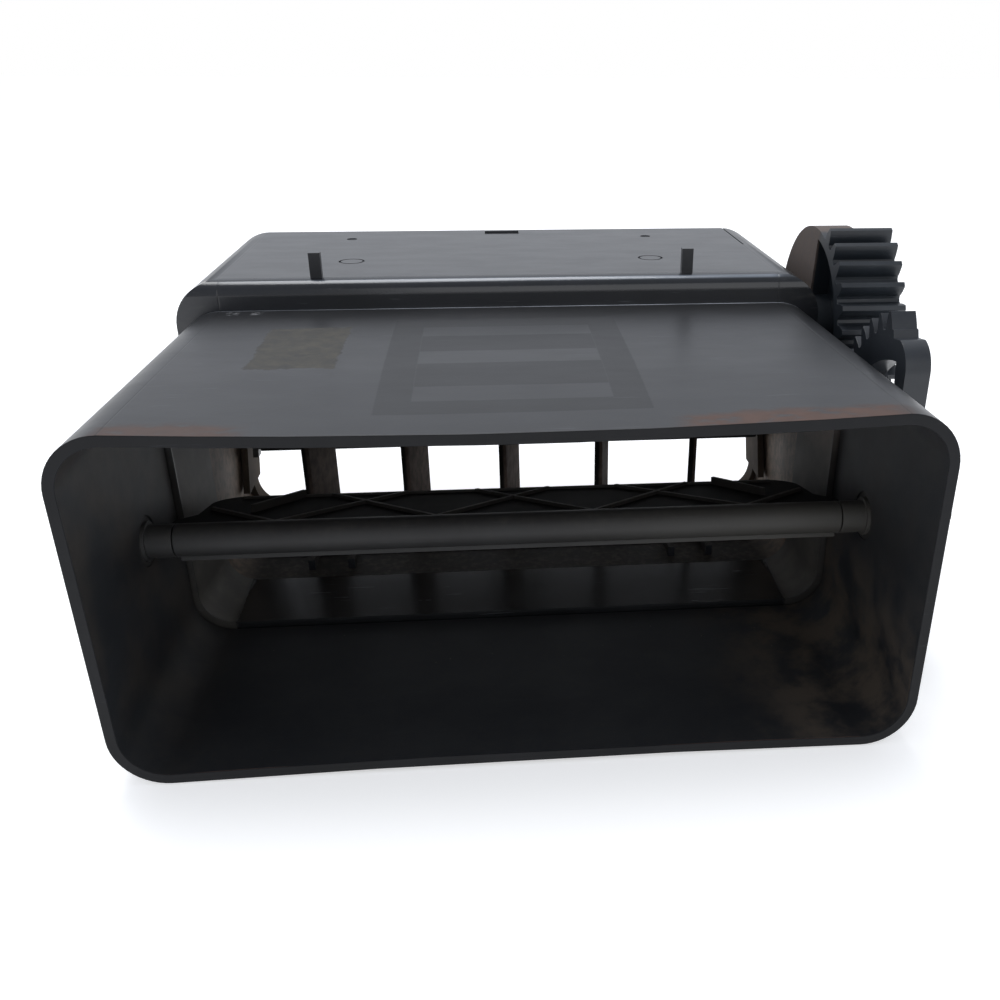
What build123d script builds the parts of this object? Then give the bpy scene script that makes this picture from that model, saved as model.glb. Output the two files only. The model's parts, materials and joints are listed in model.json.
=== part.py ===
from build123d import *
import math
import os

# Dashboard air outlet: a moulded inlet duct, an outlet housing plugged into its far end,
# a pair of coaxial damper leaves driven by a gear train on the right side, five upright
# vanes and a cassette of three cross louvres with a sliding direction knob.
#
# Frame (mm): +Y is the direction of the air, +Z up, +X to the right when looking along the air.
# The origin is the middle of the inlet mouth's lower edge, on the flat underside.

os.makedirs("parts", exist_ok=True)

# ---------------------------------------------------------------- driving dimensions
MOUTH_W = 150.0            # outer width of the duct at the inlet mouth
NECK_W = 147.6             # outer width of the duct where the housing plugs in
DUCT_H = 67.6              # outer height of the duct
DUCT_LEN = 81.0            # mouth to the shoulder of the housing
DUCT_WALL = 2.0
SOCKET_Y = 52.0            # start of the thinner socket that takes the housing's spigot
SOCKET_WALL = 1.2
CORNER_R = 10.0            # outer corner radius of duct and housing
LIP_SAG_TOP = 1.5          # the long lips bow inwards at mid width
LIP_SAG_LOW = 0.8
LIP_END = 34.0             # the bow has died out here

HOUSING_W = 148.0
HOUSING_H = 74.0
SHOULDER_R = 3.5           # round on the shoulder's top edge
SPIGOT_Y = 53.0            # end of the spigot inside the duct
SPIGOT_GAP = 0.15
SNAP_XS = (-45.0, 45.0)    # snap tabs between housing and duct, on the underside
SNAP_Z = 50.0              # and one on each side at this height
FACE_Y0 = 118.0            # outlet face where it meets the underside plane
FACE_SLOPE = 0.392         # run of the outlet face per mm of height

MODULE = 1.6
DRIVE_TEETH = 33
LOWER_SECTOR_TEETH = 50
UPPER_SECTOR_TEETH = 40
IDLER_TEETH = 16
TOOTH_THINNING = 0.14      # backlash taken off each tooth at the pitch circle

DAMPER_Y = 33.0            # common axis of both damper leaves
DAMPER_Z = 33.8
UPPER_REST = -12.0         # tilt of the leaves when the damper is fully open
LOWER_REST = -17.0
UPPER_LEN = 39.1
LOWER_LEN = 32.1
LEAF_T = 1.6

WHEEL_Y = 94.92            # drive gear axis
WHEEL_Z = 57.97

VANE_COUNT = 5
VANE_PITCH = 24.4
VANE_Y = 97.0
VANE_CHORD = 20.0
VANE_T = 2.0
VANE_REST = -11.6          # yaw of the upright vanes as they were left
VANE_LOW = 5.6
VANE_HIGH = 68.6
VANE_PIN_R = 1.5
LINK_ARM = 8.0             # link pins sit this far in front of the vane pivots
POST_ARM = 8.2             # drive post of the middle vane
POST_R = 1.3

LOUVRE_Z = (24.0, 39.0, 54.0)
LOUVRE_BACK = 9.6          # louvre axis behind the outlet face
LOUVRE_CHORD = 16.0
LOUVRE_T = 2.4
LOUVRE_ARM = 6.0

RUN = 0.06                 # radial clearance of a running fit


def save(shape, name):
    """Write one sub-part as STEP."""
    export_step(shape, "parts/" + name + ".step")


# ---------------------------------------------------------------- small helpers
def bar_x(x0, x1, y, z, r):
    """Round bar along X from x0 to x1."""
    return Pos(min(x0, x1), y, z) * Rot(0, 90, 0) * Cylinder(r, abs(x1 - x0), align=(
        Align.CENTER, Align.CENTER, Align.MIN))


def bar_z(z0, z1, x, y, r):
    """Round bar along Z from z0 to z1."""
    return Pos(x, y, z0) * Cylinder(r, z1 - z0, align=(Align.CENTER, Align.CENTER, Align.MIN))


def block(x0, x1, y0, y1, z0, z1):
    """Axis-aligned block between two corners."""
    return Pos((x0 + x1) / 2, (y0 + y1) / 2, (z0 + z1) / 2) * Box(x1 - x0, y1 - y0, z1 - z0)


def ring_x(x0, x1, y, z, r_out, r_in):
    """Tube along X."""
    return bar_x(x0, x1, y, z, r_out) - bar_x(x0 - 1, x1 + 1, y, z, r_in)


def plate_x(x0, x1, points):
    """Flat plate between two X planes with its outline given as (y, z) points."""
    wire = Wire.make_polygon([Vector(x0, y, z) for y, z in points], close=True)
    return Solid.extrude(Face(wire), Vector(x1 - x0, 0, 0))


def about_x(shape, angle, y, z):
    """Turn a shape about an X-parallel axis through (y, z)."""
    return Pos(0, y, z) * Rot(angle, 0, 0) * Pos(0, -y, -z) * shape


def about_z(shape, angle, x, y):
    """Turn a shape about a Z-parallel axis through (x, y)."""
    return Pos(x, y, 0) * Rot(0, 0, angle) * Pos(-x, -y, 0) * shape


def section(y, half_w, z0, z1, r, sag_top=0.0, sag_low=0.0):
    """Rounded rectangle across the air flow, its long sides bowed inwards by the sags."""
    k = r * (1 - math.cos(math.radians(45)))

    def arc(a, b, c):
        return Edge.make_three_point_arc(*(Vector(x, y, z) for x, z in (a, b, c)))

    def line(a, b):
        return Edge.make_line(Vector(a[0], y, a[1]), Vector(b[0], y, b[1]))

    def long_side(a, b, sag):
        return arc(a, (0, a[1] + sag), b) if sag else line(a, b)

    w = half_w
    return Wire([
        long_side((-w + r, z0), (w - r, z0), sag_low),
        arc((w - r, z0), (w - k, z0 + k), (w, z0 + r)),
        line((w, z0 + r), (w, z1 - r)),
        arc((w, z1 - r), (w - k, z1 - k), (w - r, z1)),
        long_side((w - r, z1), (-w + r, z1), -sag_top),
        arc((-w + r, z1), (-w + k, z1 - k), (-w, z1 - r)),
        line((-w, z1 - r), (-w, z0 + r)),
        arc((-w, z0 + r), (-w + k, z0 + k), (-w + r, z0)),
    ])


def tunnel(*wires):
    """Solid through the given sections, in order."""
    return Solid.make_loft(list(wires), ruled=True)


def face_y(z):
    """Outlet face position at height z."""
    return FACE_Y0 + FACE_SLOPE * z


def duct_half(y):
    """Outer half width of the tapering duct at y."""
    return (MOUTH_W - (MOUTH_W - NECK_W) * y / DUCT_LEN) / 2


def beyond_face(back=0.0):
    """Everything in front of the outlet face, moved back by a distance along Y."""
    low, high = -10.0, 100.0
    points = [(face_y(low) - back, low), (220, low), (220, high), (face_y(high) - back, high)]
    return plate_x(-100, 100, points)


# ---------------------------------------------------------------- gears
def flank(teeth, direction, centre):
    """Points of one involute flank as (radius, angle), root to tip."""
    r_pitch = MODULE * teeth / 2
    r_base = r_pitch * math.cos(math.radians(20))
    r_tip = r_pitch + MODULE
    half = (math.pi * MODULE / 2 - TOOTH_THINNING) / (2 * r_pitch)
    pitch_roll = math.tan(math.radians(20)) - math.radians(20)
    points = []
    r_start = max(r_base, r_pitch - 1.1 * MODULE)
    for i in range(5):
        r = r_start + (r_tip - r_start) * i / 4
        pressure = math.acos(min(1.0, r_base / r))
        roll = math.tan(pressure) - pressure
        points.append((r, centre + direction * (half + pitch_roll - roll)))
    return points


def toothed_disc(x0, x1, y, z, teeth, centres, blank_r):
    """Disc with involute teeth at the given centre angles (degrees); blank_r elsewhere."""
    r_root = MODULE * teeth / 2 - 1.25 * MODULE
    outline = []
    for i, degrees in enumerate(centres):
        centre = math.radians(degrees)
        right = flank(teeth, -1, centre)
        left = flank(teeth, 1, centre)[::-1]
        outline.append((r_root, right[0][1] - 0.02))
        outline += right + left
        outline.append((r_root, left[-1][1] + 0.02))
        nxt = centres[(i + 1) % len(centres)]
        gap = (nxt - degrees) % 360
        if gap > 1.5 * 360 / teeth:
            start = left[-1][1] + 0.03
            span = math.radians(gap) - 2 * (start - centre)
            steps = max(8, int(math.degrees(span) / 5))
            outline += [(blank_r, start + span * k / steps) for k in range(steps + 1)]
    points = [(y + r * math.cos(a), z + r * math.sin(a)) for r, a in outline]
    return plate_x(x0, x1, points)


def bearing_from(y0, z0, y1, z1):
    """Direction in degrees from one axis to another, from +Y towards +Z."""
    return math.degrees(math.atan2(z1 - z0, y1 - y0))


DRIVE_R = MODULE * DRIVE_TEETH / 2
LOWER_SECTOR_R = MODULE * LOWER_SECTOR_TEETH / 2
UPPER_SECTOR_R = MODULE * UPPER_SECTOR_TEETH / 2
IDLER_R = MODULE * IDLER_TEETH / 2
MESH_GAP = 0.07            # extra centre distance in every mesh

TO_WHEEL = bearing_from(DAMPER_Y, DAMPER_Z, WHEEL_Y, WHEEL_Z)
WHEEL_DISTANCE = math.hypot(WHEEL_Y - DAMPER_Y, WHEEL_Z - DAMPER_Z)
REACH_UPPER = UPPER_SECTOR_R + IDLER_R + MESH_GAP
REACH_DRIVE = DRIVE_R + IDLER_R + MESH_GAP
ALONG = (REACH_UPPER ** 2 - REACH_DRIVE ** 2 + WHEEL_DISTANCE ** 2) / (2 * WHEEL_DISTANCE)
BELOW = math.degrees(math.acos(ALONG / REACH_UPPER))
IDLER_Y = DAMPER_Y + REACH_UPPER * math.cos(math.radians(TO_WHEEL - BELOW))
IDLER_Z = DAMPER_Z + REACH_UPPER * math.sin(math.radians(TO_WHEEL - BELOW))

LOWER_PITCH = 360 / LOWER_SECTOR_TEETH
UPPER_PITCH = 360 / UPPER_SECTOR_TEETH
DRIVE_PITCH = 360 / DRIVE_TEETH
IDLER_PITCH = 360 / IDLER_TEETH

WHEEL_TO_SECTOR = TO_WHEEL + 180
WHEEL_TO_IDLER = bearing_from(WHEEL_Y, WHEEL_Z, IDLER_Y, IDLER_Z) % 360
DRIVE_LEAD = (WHEEL_TO_SECTOR - WHEEL_TO_IDLER) % DRIVE_PITCH
IDLER_SPACE = WHEEL_TO_IDLER + 180 - DRIVE_LEAD * DRIVE_TEETH / IDLER_TEETH
SECTOR_TO_IDLER = bearing_from(DAMPER_Y, DAMPER_Z, IDLER_Y, IDLER_Z)
IDLER_LEAD = (IDLER_SPACE + IDLER_PITCH / 2 - SECTOR_TO_IDLER - 180) % IDLER_PITCH
UPPER_SPACE = SECTOR_TO_IDLER - IDLER_LEAD * IDLER_TEETH / UPPER_SECTOR_TEETH

GEAR_X0 = 75.6             # near face of the drive gear
GEAR_X1 = 90.4
LOWER_SECTOR_X = (76.4, 81.6)
UPPER_SECTOR_X = (83.4, 88.4)
IDLER_X = (82.8, 89.2)


def drive_gear():
    """Wide toothed wheel with a solid front quadrant and a recessed web behind it."""
    first = WHEEL_TO_SECTOR - 8 * DRIVE_PITCH
    centres = [first + k * DRIVE_PITCH for k in range(14)]
    body = toothed_disc(GEAR_X0, GEAR_X1, WHEEL_Y, WHEEL_Z, DRIVE_TEETH, centres, 24.4)
    trim = Pos(GEAR_X1, WHEEL_Y, WHEEL_Z) * Rot(0, 90, 0) * Cylinder(40, 12)
    rear = plate_x(GEAR_X0, GEAR_X1 + 1, [
        (WHEEL_Y - 40, WHEEL_Z - 40), (WHEEL_Y + 6, WHEEL_Z - 40),
        (WHEEL_Y + 6, WHEEL_Z - 20), (WHEEL_Y - 4, WHEEL_Z),
        (WHEEL_Y - 7, WHEEL_Z + 40), (WHEEL_Y - 40, WHEEL_Z + 40)])
    body -= trim - rear
    pocket = ring_x(GEAR_X0 - 1, 80.0, WHEEL_Y, WHEEL_Z, 22.2, 8.5)
    wedge = plate_x(GEAR_X0 - 1, 80.0, [
        (WHEEL_Y, WHEEL_Z), (WHEEL_Y - 4, WHEEL_Z + 30), (WHEEL_Y - 34, WHEEL_Z + 30),
        (WHEEL_Y - 34, WHEEL_Z - 30), (WHEEL_Y + 12, WHEEL_Z - 30)])
    body -= pocket & wedge
    outer_pocket = ring_x(84.0, GEAR_X1 + 1, WHEEL_Y, WHEEL_Z, 22.2, 8.5)
    body -= outer_pocket
    return body - bar_x(70, 100, WHEEL_Y, WHEEL_Z, 4.0 + RUN)


def keyed_hole(x0, x1, r, flat, angle):
    """Round bore with two flats, for a shaft end cut to match."""
    bore = bar_x(x0, x1, DAMPER_Y, DAMPER_Z, r)
    slab = block(x0 - 1, x1 + 1, DAMPER_Y - 20, DAMPER_Y + 20, DAMPER_Z - flat, DAMPER_Z + flat)
    return bore & about_x(slab, angle, DAMPER_Y, DAMPER_Z)


def fan(x0, x1, r, start, stop):
    """Pie slice about the damper axis."""
    steps = 16
    points = [(DAMPER_Y, DAMPER_Z)]
    for k in range(steps + 1):
        a = math.radians(start + (stop - start) * k / steps)
        points.append((DAMPER_Y + r * math.cos(a), DAMPER_Z + r * math.sin(a)))
    return plate_x(x0, x1, points)


def lower_sector_gear():
    """Tall sector seen beside the duct; it turns the lower leaf."""
    x0, x1 = LOWER_SECTOR_X
    centres = [TO_WHEEL + (k + 0.5) * LOWER_PITCH for k in range(-1, 8)]
    disc = toothed_disc(x0, x1, DAMPER_Y, DAMPER_Z, LOWER_SECTOR_TEETH, centres, 36.4)
    body = disc & fan(x0 - 1, x1 + 1, 60, TO_WHEEL - 8, 90)
    body += bar_x(x0, x1, DAMPER_Y, DAMPER_Z, 8.0)
    body += block(x0, x1, DAMPER_Y - 1.4, DAMPER_Y + 4, DAMPER_Z, DAMPER_Z + 34.5)
    windows = (ring_x(x0 - 1, x1 + 1, DAMPER_Y, DAMPER_Z, 32.0, 11.0)
               & fan(x0 - 1, x1 + 1, 50, TO_WHEEL - 2, 83))
    spoke = fan(x0, x1, 34, 46, 51)
    body -= windows - spoke
    corner = block(x0 - 1, x1 + 1, 30, 37.6, 64.2, 80)
    body -= corner - bar_x(x0 - 2, x1 + 2, 37.6, 64.2, 6.0)
    return body - keyed_hole(x0 - 2, x1 + 2, 4.0 + 0.02, 3.2 + 0.02, LOWER_REST)


def upper_sector_gear():
    """Outboard sector, driven through the idler; it turns the upper leaf the other way."""
    x0, x1 = UPPER_SECTOR_X
    centres = [UPPER_SPACE + (k + 0.5) * UPPER_PITCH for k in range(-7, 1)]
    disc = toothed_disc(x0, x1, DAMPER_Y, DAMPER_Z, UPPER_SECTOR_TEETH, centres, 29.5)
    body = disc & fan(x0 - 1, x1 + 1, 60, centres[0] - 5, centres[-1] + 5)
    body += bar_x(x0, x1, DAMPER_Y, DAMPER_Z, 6.5)
    windows = (ring_x(x0 - 1, x1 + 1, DAMPER_Y, DAMPER_Z, 25.5, 9.5)
               & fan(x0 - 1, x1 + 1, 50, centres[0] + 3, centres[-1] - 3))
    spoke = fan(x0, x1, 34, -46, -39)
    body -= windows - spoke
    return body - keyed_hole(x0 - 2, x1 + 2, 2.0 + 0.02, 1.5 + 0.02, UPPER_REST)


def idler_gear():
    """Small gear that reverses the outboard sector."""
    x0, x1 = IDLER_X
    centres = [IDLER_SPACE + (k + 0.5) * IDLER_PITCH for k in range(IDLER_TEETH)]
    body = toothed_disc(x0, x1, IDLER_Y, IDLER_Z, IDLER_TEETH, centres, 0)
    body -= ring_x(x1 - 2.0, x1 + 1, IDLER_Y, IDLER_Z, 9.0, 5.0)
    return body - bar_x(x0 - 2, x1 + 2, IDLER_Y, IDLER_Z, 2.5 + RUN)


# ---------------------------------------------------------------- fixed mouldings
def inlet_duct():
    """Tapered duct with bowed lips, a thin socket at its far end and pivot bosses."""
    half_mouth = MOUTH_W / 2
    half_neck = NECK_W / 2
    top = DUCT_H
    body = tunnel(section(0, half_mouth, 0, top, CORNER_R, LIP_SAG_TOP, LIP_SAG_LOW),
                  section(LIP_END, duct_half(LIP_END), 0, top, CORNER_R),
                  section(DUCT_LEN, half_neck, 0, top, CORNER_R))
    for side in (-1, 1):
        body += bar_x(side * 73.0, side * 75.2, DAMPER_Y, DAMPER_Z, 9.0)
    w = DUCT_WALL
    r_in = CORNER_R - w
    bore = tunnel(section(-0.01, half_mouth - w, w, top - w, r_in, LIP_SAG_TOP, LIP_SAG_LOW),
                  section(LIP_END, duct_half(LIP_END) - w, w, top - w, r_in),
                  section(SOCKET_Y, duct_half(SOCKET_Y) - w, w, top - w, r_in))
    s = SOCKET_WALL
    socket = tunnel(section(SOCKET_Y, duct_half(SOCKET_Y) - s, s, top - s, CORNER_R - s),
                    section(DUCT_LEN + 0.5, half_neck - s, s, top - s, CORNER_R - s))
    body = body - bore - socket
    for side in (-1, 1):
        body -= bar_x(side * 70, side * 80, DAMPER_Y, DAMPER_Z, 5.0)
    for x in SNAP_XS:
        body -= block(x - 5, x + 5, 62, 66, -1, 4)
    for side in (-1, 1):
        body -= block(side * 74 - 3, side * 74 + 3, 62, 66, SNAP_Z - 5, SNAP_Z + 5)
    body += bar_x(duct_half(IDLER_Y) - 1.1, 75.9, IDLER_Y, IDLER_Z, 4.2)
    body += bar_x(75.8, IDLER_X[0] - 0.3, IDLER_Y, IDLER_Z, 2.9)
    body += bar_x(IDLER_X[0] - 0.4, 91.0, IDLER_Y, IDLER_Z, 2.5)
    body -= ring_x(89.7, 90.4, IDLER_Y, IDLER_Z, 4.0, 2.1)
    return body


def housing_shell():
    """Outer form of the housing, cut by the sloping outlet face."""
    half = HOUSING_W / 2
    shell = tunnel(section(DUCT_LEN, half, 0, HOUSING_H, CORNER_R),
                   section(160, half, 0, HOUSING_H, CORNER_R))
    shell = shell - beyond_face()
    cutter = block(-90, 90, DUCT_LEN - 1, DUCT_LEN + SHOULDER_R, HOUSING_H - SHOULDER_R, 80)
    cutter -= bar_x(-95, 95, DUCT_LEN + SHOULDER_R, HOUSING_H - SHOULDER_R - 0.02, SHOULDER_R)
    return shell - cutter


def outlet_housing():
    """Housing with a funnel-shaped spigot, cavity for the vanes and mounting details on top."""
    s = SOCKET_WALL + SPIGOT_GAP
    top = DUCT_H
    spigot = tunnel(
        section(SPIGOT_Y, duct_half(SPIGOT_Y) - s, s, top - s, CORNER_R - s),
        section(DUCT_LEN + 1, duct_half(DUCT_LEN) - s, s, top - s, CORNER_R - s))
    funnel = tunnel(
        section(SPIGOT_Y - 0.01, 71.2, 3.2, 64.8, 7.0),
        section(72.0, 69.0, 4.0, 64.8, 7.0))
    throat = tunnel(
        section(71.99, 69.4, 3.5, 65.2, 7.0),
        section(86.0, 69.4, 3.5, 65.2, 7.0))
    cavity = tunnel(
        section(84.0, 72.6, 2.4, 71.6, 8.4),
        section(160.0, 72.6, 2.4, 71.6, 8.4))
    body = housing_shell() + spigot - funnel - throat - cavity
    for side in (-1, 1):
        body += block(side * 42.6 - 1.3, side * 42.6 + 1.3, 84.6, 86.4, HOUSING_H - 1, 79.4)
        recess = bar_z(HOUSING_H - 0.3, HOUSING_H + 1, side * 36.7, 103.2, 3.1)
        body -= recess - bar_z(HOUSING_H - 1, HOUSING_H + 2, side * 36.7, 103.2, 2.6)
        body -= bar_z(HOUSING_H - 0.25, HOUSING_H + 1, side * 40.0, 134.5, 1.4)
        reach = duct_half(64) - 0.2
        body += block(side * (reach - 1.2) - 1.2, side * (reach - 1.2) + 1.2,
                      62.4, 65.6, SNAP_Z - 4.6, SNAP_Z + 4.6)
    for x in SNAP_XS:
        body += block(x - 4.6, x + 4.6, 62.4, 65.6, 0.2, 2.0)
    body -= block(-4.2, 5.2, 140.2, 145.4, HOUSING_H - 0.5, HOUSING_H + 1)
    body -= block(64.2, 64.6, 120.4, 150, HOUSING_H - 0.3, HOUSING_H + 1)
    body += bar_x(72.5, GEAR_X0 - 0.4, WHEEL_Y, WHEEL_Z, 6.5)
    body += bar_x(72.5, 92.4, WHEEL_Y, WHEEL_Z, 4.0)
    body -= ring_x(90.8, 91.6, WHEEL_Y, WHEEL_Z, 6.0, 3.3)
    for x in strip_clip_xs():
        body -= block(x - 3.4, x + 3.4, 89.0, 91.6, 1.0, 5.0)
        for side in (-1, 1):
            rib_x = x + side * 4.9
            body += block(rib_x - 0.8, rib_x + 0.8, 77.0, 86.6, 3.0, 6.2)
    return body


def strip_clip_xs():
    """Middles of the two snap tabs of the lower bearing strip."""
    return (-45.4, 45.4)


def vane_xs():
    """Pivot positions of the upright vanes."""
    first = -VANE_PITCH * (VANE_COUNT - 1) / 2
    return [first + VANE_PITCH * i for i in range(VANE_COUNT)]


def lower_bearing_strip():
    """Strip on the floor with a bearing for each vane and two snap tabs."""
    body = block(-64.6, 64.6, 92, 104, 2.6, 5.0)
    for x in strip_clip_xs():
        body += block(x - 3.0, x + 3.0, 89.3, 93, 2.6, 5.0)
        body += block(x - 3.0, x + 3.0, 89.3, 91.2, 1.3, 3.0)
    for x in vane_xs():
        body -= bar_z(2, 6, x, VANE_Y, VANE_PIN_R + RUN)
    return body


def upper_bearing_strip():
    """Strip under the roof with a bearing for each vane and two locating pips."""
    body = block(-64.6, 64.6, 91, 103, 69.2, 71.3)
    for side in (-1, 1):
        body += block(side * 62 - 2.5, side * 62 + 2.5, 87, 92, 69.2, 71.3)
    for x in vane_xs():
        body -= bar_z(68, 72, x, VANE_Y, VANE_PIN_R + RUN)
    return body


def louvre_axis(z):
    """Y position of a louvre's axis at height z."""
    return face_y(z) - LOUVRE_BACK


def front_frame():
    """Cassette for the louvres: a sloping bezel and two cheeks with pivot holes."""
    ring = tunnel(section(80, 72.3, 2.7, 71.3, 8.1), section(160, 72.3, 2.7, 71.3, 8.1))
    hole = tunnel(section(79, 71.2, 4.6, 67.4, 7.0), section(161, 71.2, 4.6, 67.4, 7.0))
    bezel = (ring - hole) - beyond_face()
    bezel = bezel & beyond_face(5.0)
    body = bezel
    for side in (-1, 1):
        cheek = plate_x(side * 70.2, side * 71.9, [
            (louvre_axis(12) - 6, 12), (face_y(12) - 1, 12),
            (face_y(64) - 1, 64), (louvre_axis(64) - 6, 64)])
        body += cheek
        for z in LOUVRE_Z:
            body -= bar_x(side * 66, side * 73, louvre_axis(z), z, 1.5 + RUN)
    return body


# ---------------------------------------------------------------- damper
def bush(side):
    """Flanged bearing bush of one damper journal."""
    y, z = DAMPER_Y, DAMPER_Z
    body = bar_x(side * 72.7, side * 76.1, y, z, 4.95)
    body += bar_x(side * 75.25, side * 76.1, y, z, 7.4)
    return body - bar_x(side * 70, side * 80, y, z, 4.0 + RUN)


def leaf_outline(half_w, half_end, start, length, corner):
    """Plan of a damper leaf in the XY plane, hinge side at y=0, far corners rounded."""
    step = 19.0
    k = corner * (1 - math.cos(math.radians(45)))
    edges = [
        Edge.make_line((-half_w, start), (half_w, start)),
        Edge.make_line((half_w, start), (half_w, step - 4)),
        Edge.make_line((half_w, step - 4), (half_end, step + 1)),
        Edge.make_line((half_end, step + 1), (half_end, length - corner)),
        Edge.make_three_point_arc((half_end, length - corner), (half_end - k, length - k),
                                  (half_end - corner, length)),
        Edge.make_line((half_end - corner, length), (-half_end + corner, length)),
        Edge.make_three_point_arc((-half_end + corner, length), (-half_end + k, length - k),
                                  (-half_end, length - corner)),
        Edge.make_line((-half_end, length - corner), (-half_end, step + 1)),
        Edge.make_line((-half_end, step + 1), (-half_w, step - 4)),
        Edge.make_line((-half_w, step - 4), (-half_w, start)),
    ]
    return Face(Wire(edges))


def leaf_rib(x0, y0, x1, y1, z0, z1):
    """Straight stiffening rib between two plan points."""
    length = math.hypot(x1 - x0, y1 - y0)
    angle = math.degrees(math.atan2(y1 - y0, x1 - x0))
    rib = Box(length, 0.9, z1 - z0)
    return Pos((x0 + x1) / 2, (y0 + y1) / 2, (z0 + z1) / 2) * Rot(0, 0, angle) * rib


def upper_leaf():
    """Upper damper leaf: a full-width barrel and a thin plate with crossed ribs on top."""
    half = LEAF_T / 2
    plate = Solid.extrude(leaf_outline(71.4, 68.0, 2.6, UPPER_LEN, 8.0), Vector(0, 0, LEAF_T))
    body = Pos(0, 0, -half) * plate
    body -= block(-75, -66.6, 0, 5.6, -5, 5)
    body -= block(66.6, 75, 0, 5.6, -5, 5)
    for middle in (-33.0, 0.0, 33.0):
        for side in (-1, 1):
            body += leaf_rib(middle - side * 16.5, 8, middle + side * 8.5, UPPER_LEN - 3.6,
                             half - 0.1, half + 0.8)
    for side in (-1, 1):
        body += leaf_rib(side * 56.5, 20, side * 48, UPPER_LEN - 3.6, half - 0.1, half + 1.8)
        body += leaf_rib(side * 49.5, 8, side * 66, 24, half - 0.1, half + 0.8)
    body += block(-62, 62, UPPER_LEN - 4.0, UPPER_LEN - 3.2, half - 0.1, half + 0.6)
    body += bar_x(-66.8, 66.8, 0, 0, 3.3)
    body -= bar_x(-80, 80, 0, 0, 2.02)
    return Pos(0, DAMPER_Y, DAMPER_Z) * Rot(UPPER_REST, 0, 0) * body


def leaf_plane_offset():
    """Distance of the lower leaf's plate below the damper axis."""
    return 3.0


def lower_leaf():
    """Lower damper leaf: end hubs, a trough that wraps the barrel, and a plate below it."""
    drop = leaf_plane_offset()
    plate = Solid.extrude(leaf_outline(71.8, 68.0, 2.0, LOWER_LEN, 8.0), Vector(0, 0, LEAF_T))
    body = Pos(0, 0, -drop - LEAF_T / 2) * plate
    trough = ring_x(-66.9, 66.9, 0, 0, 4.7, 3.65)
    body += trough & block(-80, 80, 1.5, 6, -8, -1.2)
    body -= block(-66.9, 66.9, -3.65, 3.4, -3.65, 5) & bar_x(-66.9, 66.9, 0, 0, 3.65)
    for side in (-1, 1):
        body += bar_x(side * 67.1, side * 72.1, 0, 0, 3.3)
        body += bar_x(side * 72.0, side * 76.3, 0, 0, 4.0)
        body += leaf_rib(side * 40, 6, side * 40, LOWER_LEN - 5, -drop - 2.2, -drop - 0.7)
    body += bar_x(76.2, 82.2, 0, 0, 4.0) & block(70, 90, -10, 10, -3.2, 3.2)
    body += leaf_rib(0, 6, 0, LOWER_LEN - 5, -drop - 2.2, -drop - 0.7)
    body -= bar_x(-90, 90, 0, 0, 2.0 + RUN)
    return Pos(0, DAMPER_Y, DAMPER_Z) * Rot(LOWER_REST, 0, 0) * body


def leaf_seal(length, drop, angle):
    """Soft lip around the far edge of a leaf."""
    lip = block(-60, 60, length, length + 0.9, -drop - 0.5, -drop + 0.5)
    return Pos(0, DAMPER_Y, DAMPER_Z) * Rot(angle, 0, 0) * lip


def damper_shaft():
    """Rod through both leaves, with flats for the outboard sector and clip grooves."""
    shaft = bar_x(-79.6, 83.0, 0, 0, 2.0)
    shaft += bar_x(82.9, 90.8, 0, 0, 2.0) & block(80, 95, -5, 5, -1.5, 1.5)
    for x in (-78.6, 88.8):
        shaft -= ring_x(x, x + 0.6, 0, 0, 3.0, 1.4)
    return Pos(0, DAMPER_Y, DAMPER_Z) * Rot(UPPER_REST, 0, 0) * shaft


def retaining_ring(x0, x1, y, z, r_in, r_out, slot):
    """Open spring ring for a groove, its gap facing forwards."""
    return ring_x(x0, x1, y, z, r_out, r_in) - block(
        x0 - 1, x1 + 1, y, y + r_out + 2, z - slot / 2, z + slot / 2)


def shaft_clips():
    """Both retaining rings of the damper shaft."""
    y, z = DAMPER_Y, DAMPER_Z
    rings = [retaining_ring(x + 0.05, x + 0.55, y, z, 1.42, 3.8, 1.8) for x in (-78.6, 88.8)]
    return Compound(children=rings)


# ---------------------------------------------------------------- vanes and louvres
def upright_vane(x, middle):
    """Upright vane with pivot pins, a link pin in its upper notch and, in the middle, a post."""
    h = VANE_HIGH - VANE_LOW
    blade = extrude(SlotOverall(VANE_CHORD, VANE_T), amount=h)
    body = Pos(0, 0, VANE_LOW) * Rot(0, 0, 90) * blade
    body += bar_z(3.0, VANE_LOW + 1.6, 0, 0, VANE_PIN_R)
    body += bar_z(VANE_HIGH - 1.6, 71.0, 0, 0, VANE_PIN_R)
    body -= block(-3, 3, 4.4, 12, 63.4, 80)
    body += bar_z(60, 67.6, 0, LINK_ARM, 0.95)
    if middle:
        body -= block(-3, 3, 5.0, 12, 27, 51)
        body += bar_z(26.5, 51.5, 0, POST_ARM, POST_R)
    return about_z(Pos(x, VANE_Y, 0) * body, VANE_REST, x, VANE_Y)


def link_point():
    """Rest position of a link pin relative to its vane's pivot."""
    a = math.radians(VANE_REST)
    return -LINK_ARM * math.sin(a), LINK_ARM * math.cos(a)


def vane_link():
    """Thin bar that makes all upright vanes turn together."""
    dx, dy = link_point()
    y = VANE_Y + dy
    body = block(-52.5 + dx, 52.5 + dx, y - 2.2, y + 2.2, 64.4, 66.2)
    for x in vane_xs():
        body -= bar_z(60, 70, x + dx, y, 0.95 + RUN)
    return body


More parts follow.
